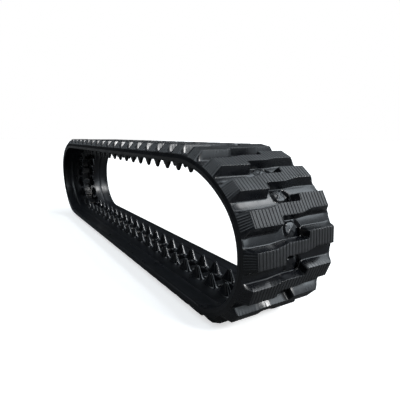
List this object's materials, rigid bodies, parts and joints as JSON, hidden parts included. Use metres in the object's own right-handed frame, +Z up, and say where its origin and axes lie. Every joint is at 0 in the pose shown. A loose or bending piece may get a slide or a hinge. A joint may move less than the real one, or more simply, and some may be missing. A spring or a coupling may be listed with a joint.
{
  "type": "rubber track",
  "caption": "Endless rubber track loop with staggered tread bars, closed sprocket windows and paired inner guide horns, standing free on its ground run.",
  "frame": {"origin": "on the ground, under the middle of the loop", "axes": "+X along the ground run to the near end, +Y across the belt, +Z up"},
  "size_m": [2.0797, 0.32, 0.5112],
  "materials": {
    "carcass_rubber": "smooth moulded, satin",
    "web_rubber": "moulded, satin, embossed",
    "tread_rubber": "finely grooved, satin",
    "horn_rubber": "glossy black",
    "forged_steel": "forged, primed",
    "cord_steel": "brass-coated cord"
  },
  "bodies": {
    "ground_run": {"ground_run_carcass_bands": "carcass_rubber", "ground_run_window_web": "web_rubber", "ground_run_tread_bars": "tread_rubber", "ground_run_guide_horns": "horn_rubber", "ground_run_steel_cores": "forged_steel", "ground_run_cord_plies": "cord_steel"},
    "near_end": {"near_end_carcass_bands": "carcass_rubber", "near_end_window_web": "web_rubber", "near_end_tread_bars": "tread_rubber", "near_end_guide_horns": "horn_rubber", "near_end_steel_cores": "forged_steel", "near_end_cord_plies": "cord_steel"},
    "near_bend": {"near_bend_carcass_bands": "carcass_rubber", "near_bend_window_web": "web_rubber", "near_bend_tread_bars": "tread_rubber", "near_bend_guide_horns": "horn_rubber", "near_bend_steel_cores": "forged_steel", "near_bend_cord_plies": "cord_steel"},
    "near_shoulder": {"near_shoulder_carcass_bands": "carcass_rubber", "near_shoulder_window_web": "web_rubber", "near_shoulder_tread_bars": "tread_rubber", "near_shoulder_guide_horns": "horn_rubber", "near_shoulder_steel_cores": "forged_steel", "near_shoulder_cord_plies": "cord_steel"},
    "near_crown": {"near_crown_carcass_bands": "carcass_rubber", "near_crown_window_web": "web_rubber", "near_crown_tread_bars": "tread_rubber", "near_crown_guide_horns": "horn_rubber", "near_crown_steel_cores": "forged_steel", "near_crown_cord_plies": "cord_steel"},
    "far_end": {"far_end_carcass_bands": "carcass_rubber", "far_end_window_web": "web_rubber", "far_end_tread_bars": "tread_rubber", "far_end_guide_horns": "horn_rubber", "far_end_steel_cores": "forged_steel", "far_end_cord_plies": "cord_steel"},
    "far_bend": {"far_bend_carcass_bands": "carcass_rubber", "far_bend_window_web": "web_rubber", "far_bend_tread_bars": "tread_rubber", "far_bend_guide_horns": "horn_rubber", "far_bend_steel_cores": "forged_steel", "far_bend_cord_plies": "cord_steel"},
    "far_shoulder": {"far_shoulder_carcass_bands": "carcass_rubber", "far_shoulder_window_web": "web_rubber", "far_shoulder_tread_bars": "tread_rubber", "far_shoulder_guide_horns": "horn_rubber", "far_shoulder_steel_cores": "forged_steel", "far_shoulder_cord_plies": "cord_steel"},
    "far_crown": {"far_crown_carcass_bands": "carcass_rubber", "far_crown_window_web": "web_rubber", "far_crown_tread_bars": "tread_rubber", "far_crown_guide_horns": "horn_rubber", "far_crown_steel_cores": "forged_steel", "far_crown_cord_plies": "cord_steel"}
  },
  "joints": [
    {"name": "near_foot_flex", "type": "hinge", "parent": "ground_run", "child": "near_end", "pos_m": [0.8444, 0, 0.04047], "axis": [0, -1, 0], "range_deg": [-3.86, 1.94]},
    {"name": "near_end_flex", "type": "hinge", "parent": "near_end", "child": "near_bend", "pos_m": [0.98625, 0, 0.30701], "axis": [0, -1, 0], "range_deg": [-5, 10], "stiffness_Nm_per_rad": 3000, "springref_deg": -2.9},
    {"name": "near_shoulder_flex", "type": "hinge", "parent": "near_bend", "child": "near_shoulder", "pos_m": [0.70329, 0, 0.47264], "axis": [0, -1, 0], "range_deg": [-2.8, 1.41]},
    {"name": "near_crown_flex", "type": "hinge", "parent": "near_shoulder", "child": "near_crown", "pos_m": [0.3593, 0, 0.47321], "axis": [0, -1, 0], "range_deg": [-2.18, 1.1]},
    {"name": "far_foot_flex", "type": "hinge", "parent": "ground_run", "child": "far_end", "pos_m": [-0.87373, 0, 0.04911], "axis": [0, 1, 0], "range_deg": [-3.14, 1.58]},
    {"name": "far_end_flex", "type": "hinge", "parent": "far_end", "child": "far_bend", "pos_m": [-0.97263, 0, 0.33438], "axis": [0, 1, 0], "range_deg": [-4.78, 9.54]},
    {"name": "far_shoulder_flex", "type": "hinge", "parent": "far_bend", "child": "far_shoulder", "pos_m": [-0.6727, 0, 0.47321], "axis": [0, 1, 0], "range_deg": [-2.9, 1.46]},
    {"name": "far_crown_flex", "type": "hinge", "parent": "far_shoulder", "child": "far_crown", "pos_m": [-0.3287, 0, 0.47321], "axis": [0, 1, 0], "range_deg": [-2.26, 1.14]}
  ],
  "couplings": [
    {"joint": "near_foot_flex", "follows": "near_end_flex", "ratio": -0.3837},
    {"joint": "near_shoulder_flex", "follows": "near_end_flex", "ratio": -0.27734},
    {"joint": "near_crown_flex", "follows": "near_end_flex", "ratio": -0.21571},
    {"joint": "far_foot_flex", "follows": "near_end_flex", "ratio": -0.31141},
    {"joint": "far_end_flex", "follows": "near_end_flex", "ratio": 0.95131},
    {"joint": "far_shoulder_flex", "follows": "near_end_flex", "ratio": -0.28795},
    {"joint": "far_crown_flex", "follows": "near_end_flex", "ratio": -0.22396}
  ]
}
